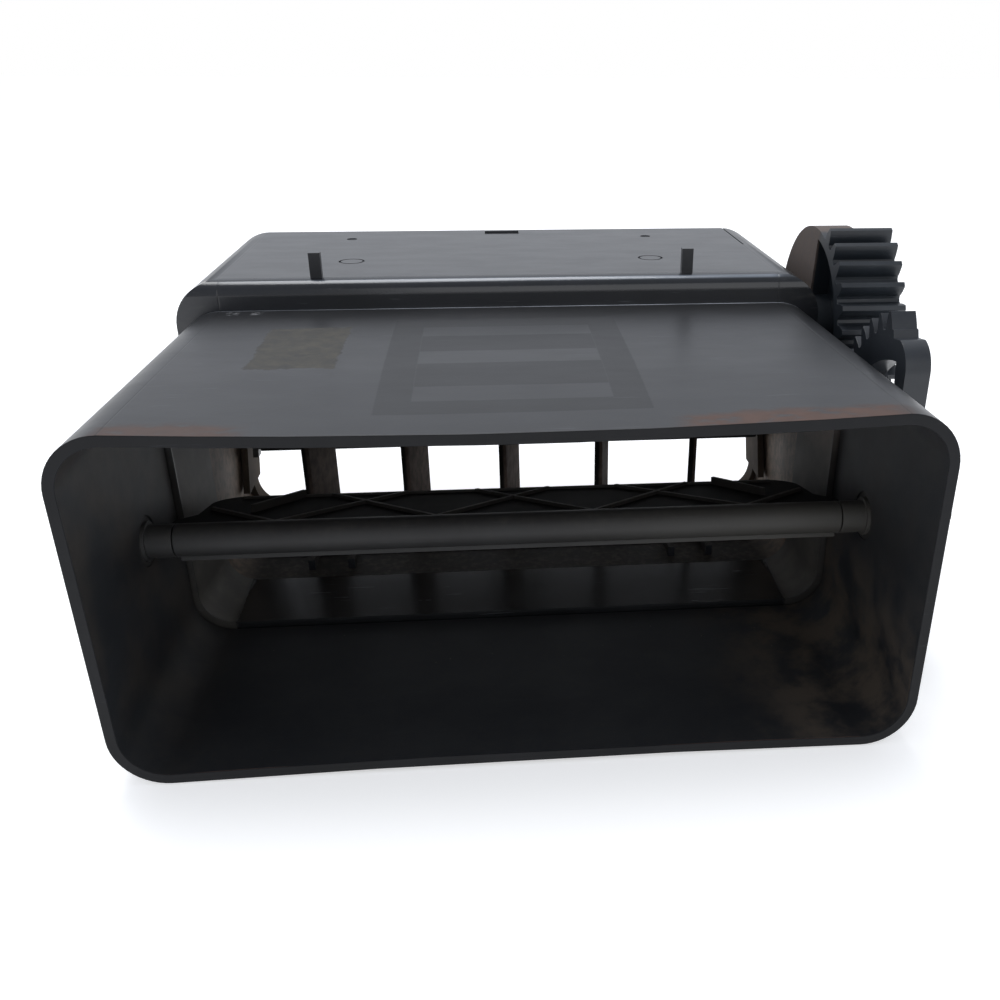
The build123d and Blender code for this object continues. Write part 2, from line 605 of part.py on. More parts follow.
def louvre(z):
    """Cross louvre with pivot pins and a link pin at its left end."""
    y = louvre_axis(z)
    profile = Pos(-66.4, y, z) * Rot(0, 90, 0) * Rot(0, 0, 90) * SlotOverall(
        LOUVRE_CHORD, LOUVRE_T)
    body = extrude(profile, amount=135.8, dir=(1, 0, 0))
    for side in (-1, 1):
        body += bar_x(side * 65, side * 71.7, y, z, 1.5)
    body += bar_x(-68.7, -66, y - LOUVRE_ARM, z, 0.9)
    return body


def louvre_link():
    """Slim bar joining the left ends of the louvres."""
    first, last = LOUVRE_Z[0], LOUVRE_Z[-1]
    low, high = first - 2.4, last + 2.4

    def at(z, d):
        return (louvre_axis(z) - LOUVRE_ARM + d, z)

    body = plate_x(-68.5, -67.0, [at(low, -1.7), at(low, 1.7), at(high, 1.7),
                                  at(high, -1.7)])
    for z in LOUVRE_Z:
        body -= bar_x(-72, -64, louvre_axis(z) - LOUVRE_ARM, z, 0.9 + RUN)
    return body


def direction_knob():
    """Sliding knob on the middle louvre, its fork around the middle vane's post."""
    z = LOUVRE_Z[1]
    y = louvre_axis(z)
    x = -POST_ARM * math.sin(math.radians(VANE_REST))
    shell = block(-8, 8, y - 9.6, y + 12.6, z - 3.6, z + 3.6)
    shell = fillet(shell.edges().filter_by(Axis.X), 1.6)
    body = shell
    for k in range(5):
        groove_x = -6 + 3 * k
        body -= block(groove_x - 0.4, groove_x + 0.4, y + 11.8, y + 13, z - 5, z + 5)
    for side in (-1, 1):
        tine_x = side * (POST_R + 0.4 + 0.8)
        body += block(tine_x - 0.8, tine_x + 0.8, 102.6, y - 9, z - 1.5, z + 1.5)
    slot = Pos(-20, y, z) * Rot(0, 90, 0) * Rot(0, 0, 90) * SlotOverall(
        LOUVRE_CHORD + 0.9, LOUVRE_T + 0.9)
    body -= extrude(slot, amount=40, dir=(1, 0, 0))
    return Pos(x, 0, 0) * body


def friction_pad():
    """Soft pad in the knob that holds it where it is put."""
    z = LOUVRE_Z[1]
    y = louvre_axis(z)
    x = -POST_ARM * math.sin(math.radians(VANE_REST))
    return Pos(x, 0, 0) * block(-3, 3, y - 3, y + 3, z + LOUVRE_T / 2 + 0.03,
                                z + LOUVRE_T / 2 + 0.4)


# ---------------------------------------------------------------- write the sub-parts
save(inlet_duct(), "inlet_duct")
save(outlet_housing(), "outlet_housing")
save(front_frame(), "front_frame")
save(lower_bearing_strip(), "lower_bearing_strip")
save(upper_bearing_strip(), "upper_bearing_strip")
save(bush(-1), "damper_bush_left")
save(bush(1), "damper_bush_right")
save(upper_leaf(), "damper_upper_leaf")
save(lower_leaf(), "damper_lower_leaf")
save(leaf_seal(UPPER_LEN, 0, UPPER_REST), "upper_leaf_seal")
save(leaf_seal(LOWER_LEN, leaf_plane_offset(), LOWER_REST), "lower_leaf_seal")
save(damper_shaft(), "damper_shaft")
save(shaft_clips(), "damper_shaft_clips")
save(lower_sector_gear(), "lower_leaf_sector_gear")
save(upper_sector_gear(), "upper_leaf_sector_gear")
save(idler_gear(), "idler_gear")
save(drive_gear(), "drive_gear")
save(retaining_ring(89.8, 90.3, IDLER_Y, IDLER_Z, 2.12, 4.4, 2.6), "idler_clip")
save(retaining_ring(90.9, 91.5, WHEEL_Y, WHEEL_Z, 3.32, 6.6, 4.0), "drive_gear_clip")
for number, pivot_x in enumerate(vane_xs(), start=1):
    save(upright_vane(pivot_x, number == 3), "upright_vane_" + str(number))
save(vane_link(), "upright_vane_link")
for number, pivot_z in enumerate(LOUVRE_Z, start=1):
    save(louvre(pivot_z), "cross_louvre_" + str(number))
save(louvre_link(), "cross_louvre_link")
save(direction_knob(), "direction_knob")
save(friction_pad(), "knob_friction_pad")
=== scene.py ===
import json
import logging
import math
from collections.abc import Callable
from dataclasses import dataclass
from enum import Enum

import bmesh
import bpy
from mathutils import Matrix, Vector

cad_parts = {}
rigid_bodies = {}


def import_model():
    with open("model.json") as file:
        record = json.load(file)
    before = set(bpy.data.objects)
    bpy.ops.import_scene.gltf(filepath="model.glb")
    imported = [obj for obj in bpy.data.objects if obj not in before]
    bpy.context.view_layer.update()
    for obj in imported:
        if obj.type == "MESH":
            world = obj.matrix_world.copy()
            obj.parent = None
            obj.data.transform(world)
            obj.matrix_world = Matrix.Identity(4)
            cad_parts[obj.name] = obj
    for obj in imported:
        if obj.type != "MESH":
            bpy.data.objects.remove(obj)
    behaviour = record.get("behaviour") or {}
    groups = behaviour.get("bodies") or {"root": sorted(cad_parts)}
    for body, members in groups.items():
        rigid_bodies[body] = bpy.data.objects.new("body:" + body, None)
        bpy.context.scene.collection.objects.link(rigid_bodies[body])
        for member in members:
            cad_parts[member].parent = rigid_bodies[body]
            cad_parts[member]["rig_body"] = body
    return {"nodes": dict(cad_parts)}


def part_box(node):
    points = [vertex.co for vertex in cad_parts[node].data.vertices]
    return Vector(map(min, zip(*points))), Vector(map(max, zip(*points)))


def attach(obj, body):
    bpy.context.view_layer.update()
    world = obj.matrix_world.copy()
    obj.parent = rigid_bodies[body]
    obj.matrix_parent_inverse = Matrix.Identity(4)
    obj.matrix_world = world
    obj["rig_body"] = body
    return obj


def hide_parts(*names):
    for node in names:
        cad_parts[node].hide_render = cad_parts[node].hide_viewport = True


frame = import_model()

# Looks of the dashboard air outlet. Lengths are in metres unless a name ends in _mm, and a
# range is low and high, or x0, x1, y0, y1 for a patch.
LOG = logging.getLogger("air_outlet")
MM = 0.001
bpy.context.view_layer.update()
FINE_GRAIN_MM = 0.5        # spacing of the felt and scuffs that bump shows
WITNESS_MM = 0.1           # half width of a mould's witness line
SOFT_EDGE_MM = 0.2         # how sharply a printed or moulded outline ends
MERGE_MM = 0.003           # corners of loose triangles closer than this are one
FLAT_DEG = 0.8             # faces that meet flatter than this are one
ROUND_DEG = 32.0           # edges sharper than this are rounded
SHARP_DEG = 30.0           # edges sharper than this stay sharp in the shading

Colour = tuple[float, float, float, float]
Socket = bpy.types.NodeSocket
Tree = bpy.types.NodeTree
Piece = bpy.types.Object
Material = bpy.types.Material
Range = tuple[float, float]
Patch = tuple[float, float, float, float]
Point = tuple[float, float, float]


def linear(code: str) -> Colour:
    """Turn an sRGB hex value into a linear colour.

    Args:
        code: Six hex digits, such as "2a2d31".

    Returns:
        Red, green, blue and an alpha of 1.
    """
    channels = [int(code[i:i + 2], 16) / 255 for i in (0, 2, 4)]
    r, g, b = (c / 12.92 if c <= 0.04045 else ((c + 0.055) / 1.055) ** 2.4 for c in channels)
    return (r, g, b, 1.0)


def add(tree: Tree, kind: str, settings: dict | None = None, **links: Socket | float) -> bpy.types.Node:
    """Add one node with its settings and inputs.

    Args:
        tree: The node tree.
        kind: The node's type name.
        settings: Properties of the node, or values of its inputs by name.
        **links: Inputs by name, underscores for spaces, or in0, in1 and so on by place.

    Returns:
        The new node.
    """
    node = tree.nodes.new(kind)
    for name, value in (settings or {}).items():
        if name in node.inputs:
            node.inputs[name].default_value = value
        else:
            setattr(node, name, value)
    for name, value in links.items():
        place = name[2:]
        key = int(place) if name.startswith("in") and place.isdigit() else name.replace("_", " ")
        if isinstance(value, Socket):
            tree.links.new(value, node.inputs[key])
        else:
            node.inputs[key].default_value = value
    return node


# ---- procedural finishes
class Paint:
    """Builds one material's node tree out of small reusable steps."""

    def __init__(self, name: str) -> None:
        """Start an empty material.

        Args:
            name: The material's name.
        """
        self.material = bpy.data.materials.new(name)
        self.material.use_nodes = True
        self.tree = self.material.node_tree
        self.tree.nodes.clear()
        coord = add(self.tree, "ShaderNodeTexCoord")
        self.place = coord.outputs["Object"]
        split = add(self.tree, "ShaderNodeSeparateXYZ", Vector=self.place)
        self.x, self.y, self.z = split.outputs
        facing = add(self.tree, "ShaderNodeSeparateXYZ", Vector=coord.outputs["Normal"])
        self.nx, self.ny, self.nz = facing.outputs

    def math(self, operation: str, a: Socket | float, b: Socket | float = 0.0) -> Socket:
        """One math step on two values."""
        return add(self.tree, "ShaderNodeMath", {"operation": operation}, in0=a, in1=b).outputs[0]

    def span(self, value: Socket, low: float, high: float, to_low: float = 0.0,
             to_high: float = 1.0) -> Socket:
        """Smoothly map a value from one range to another.

        Args:
            value: The value to map.
            low: Start of its range.
            high: End of its range.
            to_low: Result at the start.
            to_high: Result at the end.

        Returns:
            The mapped value.
        """
        node = add(self.tree, "ShaderNodeMapRange", {"interpolation_type": "SMOOTHSTEP"}, in0=value,
                   in1=low, in2=high, in3=to_low, in4=to_high)
        return node.outputs[0]

    def noise(self, size_mm: float, detail: float = 4.0, stretch: Vector | tuple = (1, 1, 1),
              rough: float = 0.55, seed: float = 0.0) -> Socket:
        """Noise whose features are about size_mm across.

        Args:
            size_mm: Feature size.
            detail: Octaves.
            stretch: Factor on the frequency along each axis.
            rough: Weight of the finer octaves.
            seed: Offset that picks another pattern.

        Returns:
            A value around 0.5.
        """
        mapped = add(self.tree, "ShaderNodeMapping", Vector=self.place)
        mapped.inputs["Scale"].default_value = tuple(stretch)
        mapped.inputs["Location"].default_value = (seed, seed * 0.7, seed * 1.3)
        node = add(self.tree, "ShaderNodeTexNoise", {"Scale": 1 / (size_mm * MM), "Detail": detail,
                                                     "Roughness": rough},
                   Vector=mapped.outputs[0])
        return node.outputs[0]

    def mix(self, factor: Socket | float, a: Socket | Colour, b: Socket | Colour) -> Socket:
        """Blend two colours by a factor."""
        return add(self.tree, "ShaderNodeMix", {"data_type": "RGBA"}, in0=factor, in6=a,
                   in7=b).outputs[2]

    def lerp(self, factor: Socket | float, a: Socket | float, b: Socket | float) -> Socket:
        """Blend two values by a factor."""
        return add(self.tree, "ShaderNodeMix", {"data_type": "FLOAT"}, in0=factor, in2=a,
                   in3=b).outputs[0]

    def multiply(self, *values: Socket | float) -> Socket:
        """Multiply several values.

        Args:
            *values: Two or more values.

        Returns:
            Their product.
        """
        result = values[0]
        for value in values[1:]:
            result = self.math("MULTIPLY", result, value)
        return result

    def window(self, value: Socket, low: float, high: float, soft: float) -> Socket:
        """Mask a band of a value.

        Args:
            value: The value.
            low: Start of the band.
            high: End of the band.
            soft: Half the width over which each side falls to 0.

        Returns:
            1 inside the band and 0 outside.
        """
        rising = self.span(value, low - soft, low + soft)
        falling = self.span(value, high - soft, high + soft, 1.0, 0.0)
        return self.math("MULTIPLY", rising, falling)

    def window_mm(self, value: Socket, band_mm: Range, soft_mm: float) -> Socket:
        """Mask a band of a coordinate, with the band given in millimetres."""
        return self.window(value, band_mm[0] * MM, band_mm[1] * MM, soft_mm * MM)

    def ramp_mm(self, value: Socket, low_mm: float, high_mm: float, to_low: float = 0.0,
                to_high: float = 1.0) -> Socket:
        """Map a coordinate smoothly, with its range given in millimetres."""
        return self.span(value, low_mm * MM, high_mm * MM, to_low, to_high)

    def patch_mm(self, x: Socket, y: Socket, patch: Patch, soft_mm: float) -> Socket:
        """Mask a rectangle of the plan.

        Args:
            x: Coordinate across the outlet.
            y: Coordinate along the air flow.
            patch: The rectangle, as x0, x1, y0, y1.
            soft_mm: Softness of its border.

        Returns:
            1 inside the rectangle and 0 outside.
        """
        return self.multiply(self.window_mm(x, patch[:2], soft_mm),
                             self.window_mm(y, patch[2:], soft_mm))

    def wobble(self, value: Socket, size_mm: float, depth_mm: float, seed: float) -> Socket:
        """Shift a coordinate by noise, so that a border wanders.

        Args:
            value: The coordinate.
            size_mm: Length of a bend in the border.
            depth_mm: How far it may wander.
            seed: Offset that picks another pattern.

        Returns:
            The shifted coordinate.
        """
        sway = self.math("SUBTRACT", self.noise(size_mm, 5.0, seed=seed), 0.5)
        return self.math("ADD", value, self.math("MULTIPLY", sway, 2 * depth_mm * MM))

    def finish(self, colour: Socket | Colour, roughness: Socket | float, bump: Socket | None = None,
               bump_mm: float = 0.05, specular: float = 0.5, metallic: float = 0.0,
               glow: float = 0.0) -> Material:
        """Close the tree with a Principled shader.

        Args:
            colour: Base colour.
            roughness: Roughness.
            bump: Height field, or None.
            bump_mm: Height of the bump at full strength.
            specular: Strength of the surface reflection.
            metallic: 1 for bare metal.
            glow: Light the surface gives off by itself.

        Returns:
            The finished material.
        """
        shader = add(self.tree, "ShaderNodeBsdfPrincipled",
                     {"IOR": 1.5, "Metallic": metallic, "Specular IOR Level": specular,
                      "Emission Strength": glow, "Emission Color": (1.0, 1.0, 1.0, 1.0)},
                     Base_Color=colour, Roughness=roughness)
        if bump is not None:
            node = add(self.tree, "ShaderNodeBump", {"Strength": 0.6, "Distance": bump_mm * MM},
                       Height=bump)
            self.tree.links.new(node.outputs[0], shader.inputs["Normal"])
        out = add(self.tree, "ShaderNodeOutputMaterial")
        self.tree.links.new(shader.outputs[0], out.inputs[0])
        return self.material


@dataclass
class Coat:
    """Plastic skin under way: its paint, and the colour, roughness and height so far."""

    p: Paint
    colour: Socket
    gloss: Socket
    height: Socket
    specular: float

    def tint(self, mask: Socket, tone: str | Socket, strength: float = 1.0) -> None:
        """Lay a colour over the coat where a mask is 1.

        Args:
            mask: Where it goes.
            tone: A hex value, or a colour socket.
            strength: Share of the colour at full mask.
        """
        tone = linear(tone) if isinstance(tone, str) else tone
        self.colour = self.p.mix(self.p.multiply(mask, strength), self.colour, tone)

    def dull(self, mask: Socket, amount: float) -> None:
        """Add to the roughness where a mask is 1; a negative amount polishes."""
        self.gloss = self.p.math("ADD", self.gloss, self.p.math("MULTIPLY", mask, amount))

    def lift(self, mask: Socket, amount: Socket | float) -> None:
        """Add to the height where a mask is 1; a negative amount cuts in."""
        self.height = self.p.math("ADD", self.height, self.p.math("MULTIPLY", mask, amount))

    def close(self, bump_mm: float) -> Material:
        """Close the tree with the coat's own reflection."""
        return self.p.finish(self.colour, self.gloss, self.height, bump_mm, specular=self.specular)


@dataclass(frozen=True)
class MouldedPlastic:
    """Injection-moulded, carbon-black ABS, PP or acetal.

    A dark satin skin with fine mould grain, wandering gloss, hairline scratches and dust that
    gathers on faces that look up. The real grain is about 0.1 mm, and is drawn coarser to show.
    """

    name: str
    base: str = "1c1e21"
    pale: str = "222528"
    dust: str = "6b6258"
    dust_amount: float = 0.12
    roughness: float = 0.40
    grain_mm: float = 0.45
    grain_depth_mm: float = 0.02
    scratches: float = 0.12
    specular: float = 0.5
    scratch_along: Point = (0.05, 1.0, 1.0)
    seed: float = 0.0

    def start(self) -> Coat:
        """Lay down the plain worn plastic.

        Returns:
            The open coat.
        """
        p = Paint(self.name)
        cloud = p.noise(22, 5, seed=self.seed)
        smear = p.noise(5.0, 6, stretch=(0.35, 1.0, 1.0), seed=self.seed + 3)
        grain = p.noise(self.grain_mm, 2, seed=self.seed + 5)
        hair = p.span(p.noise(0.7, 3, stretch=self.scratch_along, seed=self.seed + 7), 0.64, 0.70)
        patchy = p.span(p.noise(9, 3, seed=self.seed + 8), 0.45, 0.62)
        hair = p.multiply(hair, patchy, self.scratches)
        up = p.span(p.nz, 0.1, 0.95)
        fine_dust = p.span(p.noise(1.6, 8, seed=self.seed + 11), 0.42, 0.72)
        dust = p.multiply(p.lerp(up, 0.25, 1.0), p.lerp(fine_dust, 0.35, 1.0), self.dust_amount,
                          p.lerp(p.span(cloud, 0.3, 0.7), 0.7, 1.2))
        gloss = p.lerp(p.span(smear, 0.25, 0.75), self.roughness - 0.015, self.roughness + 0.025)
        colour = p.mix(p.span(cloud, 0.35, 0.68), linear(self.base), linear(self.pale))
        coat = Coat(p, colour, gloss, p.math("MULTIPLY", grain, 0.5), self.specular)
        coat.tint(dust, self.dust)
        coat.tint(hair, "5c5e62")
        coat.dull(dust, 0.4)
        coat.lift(hair, -1.0)
        return coat

    def build(self) -> Material:
        """Finish the plain version."""
        return self.start().close(self.grain_depth_mm)


@dataclass(frozen=True)
class SpringSteel:
    """Blued, oiled spring steel or drawn rod.

    Dark metal with fine turning lines and brown stains, so a clip glints against black plastic.
    """

    name: str
    base: str = "6e6f72"
    stain: str = "4a3b30"
    roughness: float = 0.34

    def build(self) -> Material:
        """Build the metal.

        Returns:
            The material.
        """
        p = Paint(self.name)
        lines = p.noise(0.25, 3, stretch=(1.0, 0.15, 0.15))
        stained = p.span(p.noise(3.0, 5), 0.5, 0.72)
        colour = p.mix(p.multiply(stained, 0.5), linear(self.base), linear(self.stain))
        gloss = p.lerp(lines, self.roughness - 0.06, self.roughness + 0.12)
        return p.finish(colour, gloss, lines, 0.01, metallic=1.0)


@dataclass(frozen=True)
class MattSkin:
    """Moulded TPE, or the surface of a grain of plaster.

    Nearly matt and mottled by a bloom of dust, so it reads as soft beside the satin plastic.
    """

    name: str
    base: str = "161616"
    dust: str = "4e4a44"

    def build(self) -> Material:
        """Build the skin.

        Returns:
            The material.
        """
        p = Paint(self.name)
        bloom = p.span(p.noise(2.5, 6), 0.4, 0.75)
        colour = p.mix(p.multiply(bloom, 0.3), linear(self.base), linear(self.dust))
        return p.finish(colour, p.lerp(bloom, 0.62, 0.85), p.noise(0.6, 3), 0.02)


# ---- mesh helpers
def new_piece(name: str, data: bpy.types.ID) -> Piece:
    """Link a mesh, light or camera into the scene as an object at the origin.

    Args:
        name: The object's name.
        data: Its mesh, light or camera.

    Returns:
        The object.
    """
    piece = bpy.data.objects.new(name, data)
    bpy.context.scene.collection.objects.link(piece)
    return piece


def baked(piece: Piece) -> Piece:
    """Apply every modifier of a piece to its mesh.

    Args:
        piece: The object with live modifiers.

    Returns:
        The same object with a plain mesh.
    """
    bpy.context.view_layer.update()
    graph = bpy.context.evaluated_depsgraph_get()
    mesh = bpy.data.meshes.new_from_object(piece.evaluated_get(graph))
    piece.modifiers.clear()
    piece.data = mesh
    return piece


def merged_mesh(node: str) -> bpy.types.Mesh:
    """Copy a CAD node's mesh with its loose triangles merged into clean faces.

    Args:
        node: The CAD node.

    Returns:
        The new mesh.
    """
    shell = bmesh.new()
    shell.from_mesh(frame["nodes"][node].data)
    bmesh.ops.remove_doubles(shell, verts=shell.verts, dist=MERGE_MM * MM)
    bmesh.ops.dissolve_limit(shell, angle_limit=math.radians(FLAT_DEG), verts=shell.verts,
                             edges=shell.edges)
    mesh = bpy.data.meshes.new(node + "_mesh")
    shell.to_mesh(mesh)
    shell.free()
    for name in ("custom_normal", "UVMap"):
        if name in mesh.attributes:
            mesh.attributes.remove(mesh.attributes[name])
    return mesh


def softened(node: str, name: str, radius_mm: float, segments: int) -> Piece:
    """Make a finished copy of a CAD node with its moulded edges rounded.

    Args:
        node: The CAD node it stands for.
        name: The piece's name.
        radius_mm: Edge radius.
        segments: Segments across each edge.

    Returns:
        The piece, riding on the node's body.
    """
    piece = new_piece(name, merged_mesh(node))
    bevel = piece.modifiers.new("edge", "BEVEL")
    bevel.width = radius_mm * MM
    bevel.segments = segments
    bevel.limit_method = "ANGLE"
    bevel.angle_limit = math.radians(ROUND_DEG)
    bevel.use_clamp_overlap = True
    baked(piece)
    for polygon in piece.data.polygons:
        polygon.use_smooth = True
    piece.data.set_sharp_from_angle(angle=math.radians(SHARP_DEG))
    even = piece.modifiers.new("even", "WEIGHTED_NORMAL")
    even.keep_sharp = True
    baked(piece)
    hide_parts(node)
    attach(piece, frame["nodes"][node]["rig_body"])
    return piece


def dress(piece: Piece, *materials: Material) -> Piece:
    """Give a piece or a CAD node its materials.

    Args:
        piece: The object.
        *materials: Its materials, in slot order.

    Returns:
        The same object.
    """
    piece.data.materials.clear()
    for material in materials:
        piece.data.materials.append(material)
    return piece


def moulding(node: str, name: str, radius_mm: float, slot: str, *materials: Material,
             segments: int = 2) -> Piece:
    """Make, dress and report one moulded piece.

    Args:
        node: The CAD node it stands for.
        name: The piece's name.
        radius_mm: Edge radius.
        slot: The record's material slot; not used.
        *materials: Its finishes, in slot order.
        segments: Segments across each edge.

    Returns:
        The piece.
    """
    piece = dress(softened(node, name, radius_mm, segments), *materials)
    LOG.info("%s: %d faces", name, len(piece.data.polygons))
    return piece


def paint_faces(piece: Piece, choose: Callable[[Vector, Vector], Enum]) -> None:
    """Give each face the slot of the zone that choose returns for its centre and normal."""
    for polygon in piece.data.polygons:
        polygon.material_index = choose(polygon.center, polygon.normal).value


# ---- duct
class DuctZone(Enum):
    """Which finish a face of the duct takes, by material slot."""

    OUTSIDE = 0
    INSIDE = 1
    RIM = 2


@dataclass
class InletDuct:
    """Tapered inlet duct: clean satin outside, dusty inside, a worn top lip."""

    node: str = "inlet_duct"
    wall_mm: float = 2.0
    inner_half_mm: float = 74.5
    rim_mm: float = 0.8
    frame_mm: Patch = (-24.0, 23.4, 9.0, 69.0)
    frame_border_mm: float = 6.2
    bands_mm: tuple[Range, Range] = ((22.5, 35.5), (44.0, 55.5))
    residue_mm: Patch = (-49.5, -33.0, 34.0, 64.0)
    lip_mm: Range = (3.2, 7.0)
    right_scuff_mm: Range = (27.0, 65.0)
    left_scuff_mm: Range = (-66.0, -44.0)
    # y band of the painted highlight line before the shoulder
    painted_highlight_mm: Range = (80.1, 80.8)
    nicks_mm: tuple[Patch, Patch] = ((-62.0, -59.4, 76.6, 79.4), (-56.4, -54.2, 76.6, 79.4))
    seam_mm: float = 65.0
    seam_taper: float = 0.0148
    stain_x_mm: Range = (34.0, 64.0)
    stain_z_mm: Range = (4.0, 34.0)
    left_dust_mm: Range = (-73.0, -58.0)

    def frame_mask(self, p: Paint) -> Socket:
        """Matt frame with two matt bands inside it.

        Args:
            p: The paint.

        Returns:
            1 on the frame and the bands.
        """
        across = p.wobble(p.x, 1.5, 0.15, 2.0)
        along = p.wobble(p.y, 1.5, 0.15, 4.0)
        x0, x1, y0, y1 = self.frame_mm
        edge = self.frame_border_mm
        outer = p.patch_mm(across, along, self.frame_mm, SOFT_EDGE_MM)
        inner = p.patch_mm(across, along, (x0 + edge, x1 - edge, y0 + edge, y1 - edge), SOFT_EDGE_MM)
        first, second = (p.window_mm(along, band, SOFT_EDGE_MM) for band in self.bands_mm)
        bands = p.multiply(inner, p.math("ADD", first, second))
        return p.math("MAXIMUM", p.math("SUBTRACT", outer, inner), bands)

    def lay_residue(self, coat: Coat, top: Socket) -> None:
        """Lay the crumbly film of old glue.

        Args:
            coat: The coat it lies on.
            top: Mask of the faces that look up.
        """
        p = coat.p
        across = p.wobble(p.x, 3, 1.2, 9.0)
        along = p.wobble(p.y, 3, 1.7, 12.0)
        crumbs = p.span(p.noise(2.4, 8, rough=0.7, seed=20), 0.30, 0.70)
        film = p.multiply(p.patch_mm(across, along, self.residue_mm, 0.35), top,
                          p.lerp(crumbs, 0.78, 1.0))
        coat.tint(film, p.mix(crumbs, linear("2b2924"), linear("4a463c")), 0.9)
        coat.dull(film, 0.30)
        coat.lift(film, 0.8)

    def lay_scuffs(self, coat: Coat) -> None:
        """Rub the top lip down to a rusty brown at its right and left ends.

        Args:
            coat: The coat they lie on.
        """
        p = coat.p
        lip = p.ramp_mm(p.wobble(p.y, 7, 3.5, 31.0), *self.lip_mm, 1.0, 0.0)
        right = p.window_mm(p.wobble(p.x, 9, 3.0, 33.0), self.right_scuff_mm, 3)
        left = p.window_mm(p.wobble(p.x, 9, 3.0, 35.0), self.left_scuff_mm, 2)
        rub = p.span(p.noise(2.2, 8, stretch=(0.5, 1, 1), seed=40), 0.30, 0.52)
        scuff = p.multiply(lip, p.math("ADD", right, p.math("MULTIPLY", left, 0.75)), rub,
                           p.span(p.nz, 0.3, 0.7))
        coat.tint(scuff, p.mix(p.noise(3.0, 4, seed=41), linear("4a372f"), linear("644b40")), 0.95)
        coat.dull(scuff, 0.35)
        coat.lift(scuff, p.noise(FINE_GRAIN_MM, 4, seed=44))

    def lay_wear_and_highlight(self, coat: Coat, top: Socket) -> None:
        """Lay a pale painted highlight line before the shoulder, two nicks and the mould's witness
        lines.

        Args:
            coat: The coat they lie on.
            top: Mask of the faces that look up.
        """
        p = coat.p
        broken = p.span(p.noise(4, 6, stretch=(0.3, 1, 1), seed=46), 0.3, 0.6)
        # Painted highlight: a pale line along the top just before the shoulder, stronger to the right,
        # standing in for the light the duct's end edge catches.
        painted_edge_highlight = p.multiply(p.window_mm(p.y, self.painted_highlight_mm, 0.12), top,
                            p.ramp_mm(p.x, -70, 5, 0.25, 1.0), p.lerp(broken, 0.4, 1.0))
        coat.tint(painted_edge_highlight, "c4c8cf")
        first, second = (p.patch_mm(p.x, p.y, nick, 0.5) for nick in self.nicks_mm)
        ragged = p.span(p.noise(1.0, 5, seed=48), 0.42, 0.6)
        coat.tint(p.multiply(p.math("ADD", first, second), top, ragged), "747577")
        line = p.math("ADD", p.math("ABSOLUTE", p.x), p.math("MULTIPLY", p.y, self.seam_taper))
        seam = p.window_mm(line, (self.seam_mm - WITNESS_MM, self.seam_mm + WITNESS_MM), 0.12)
        seam = p.multiply(seam, top)
        coat.tint(seam, "0b0c0e", 0.7)
        coat.lift(seam, -2.0)

    def outer_finish(self) -> Material:
        """Moulded ABS outer skin: satin, so the sky lies on it as a soft grey sheen.

        Returns:
            The material.
        """
        coat = MouldedPlastic("moulded_abs_duct_outside", dust_amount=0.05, roughness=0.34,
                              scratches=0.3, base="191b1e", pale="1e2024").start()
        p = coat.p
        top = p.span(p.nz, 0.6, 0.9)
        frame_part = p.multiply(self.frame_mask(p), top)
        coat.dull(frame_part, 0.09)
        coat.tint(frame_part, "121315", 0.4)
        self.lay_residue(coat, top)
        self.lay_scuffs(coat)
        # Wear and witness lines, with the painted highlight before the shoulder.
        self.lay_wear_and_highlight(coat, top)
        return coat.close(0.03)

    def inner_finish(self) -> Material:
        """Moulded ABS inside: near-black and worn matt, a shade paler than the outside partly as
        painted fill light and partly as dust, with brown dust low on the right wall.

        Returns:
            The material.
        """
        # Base paler than the outside skin: partly dust, partly painted fill light for the inside.
        coat = MouldedPlastic("moulded_abs_duct_inside", dust="5a4f42", dust_amount=0.08,
                              roughness=0.55, base="202226", pale="27292c", scratches=0.06,
                              specular=0.25, seed=2.0).start()
        p = coat.p
        blotch = p.span(p.noise(11, 6, rough=0.62, seed=50), 0.36, 0.62)
        stain = p.multiply(p.ramp_mm(p.x, *self.stain_x_mm), blotch,
                           p.ramp_mm(p.z, *self.stain_z_mm, 1.0, 0.1))
        coat.tint(stain, "5c5247", 0.75)
        left = p.ramp_mm(p.x, *self.left_dust_mm, 1.0, 0.0)
        coat.tint(p.multiply(left, p.span(p.noise(14, 5, seed=55), 0.35, 0.7)), "4c443b", 0.35)
        coat.dull(stain, 0.25)
        return coat.close(0.03)

    def build(self) -> None:
        """Make the duct piece."""
        # Cut edge of the moulding: duller than the skin, with a darker colour that is painted shade on
        # the faces that look out of the mouth, so the mouth is outlined.
        rim = MouldedPlastic("moulded_abs_cut_rim", base="131416", pale="17181b", dust_amount=0.05,
                             roughness=0.5, specular=0.2, seed=34.0).build()
        piece = moulding(self.node, "duct_shell", 0.5, "duct_abs", self.outer_finish(),
                         self.inner_finish(), rim, segments=3)
        low, high = (corner[2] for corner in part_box(self.node))
        skin = self.wall_mm * MM * 0.55

        def choose(centre: Vector, normal: Vector) -> DuctZone:
            """Sort a face: inside looks towards the duct's axis, the rim out of the mouth.

            Args:
                centre: The face's centre.
                normal: Its normal.

            Returns:
                Its zone.
            """
            if centre.y < self.rim_mm * MM and normal.y < -0.5:
                return DuctZone.RIM
            inward = normal.dot(Vector((-centre.x, 0, (low + high) / 2 - centre.z))) > 0
            deep = abs(centre.x) < self.inner_half_mm * MM and low + skin < centre.z < high - skin
            return DuctZone.INSIDE if inward and deep and centre.y > 0.5 * MM else DuctZone.OUTSIDE

        paint_faces(piece, choose)


# ---- housing
class HousingZone(Enum):
    """Which finish a face of the housing takes, by material slot."""

    OUTSIDE = 0
    FUNNEL = 1
    THROAT = 2


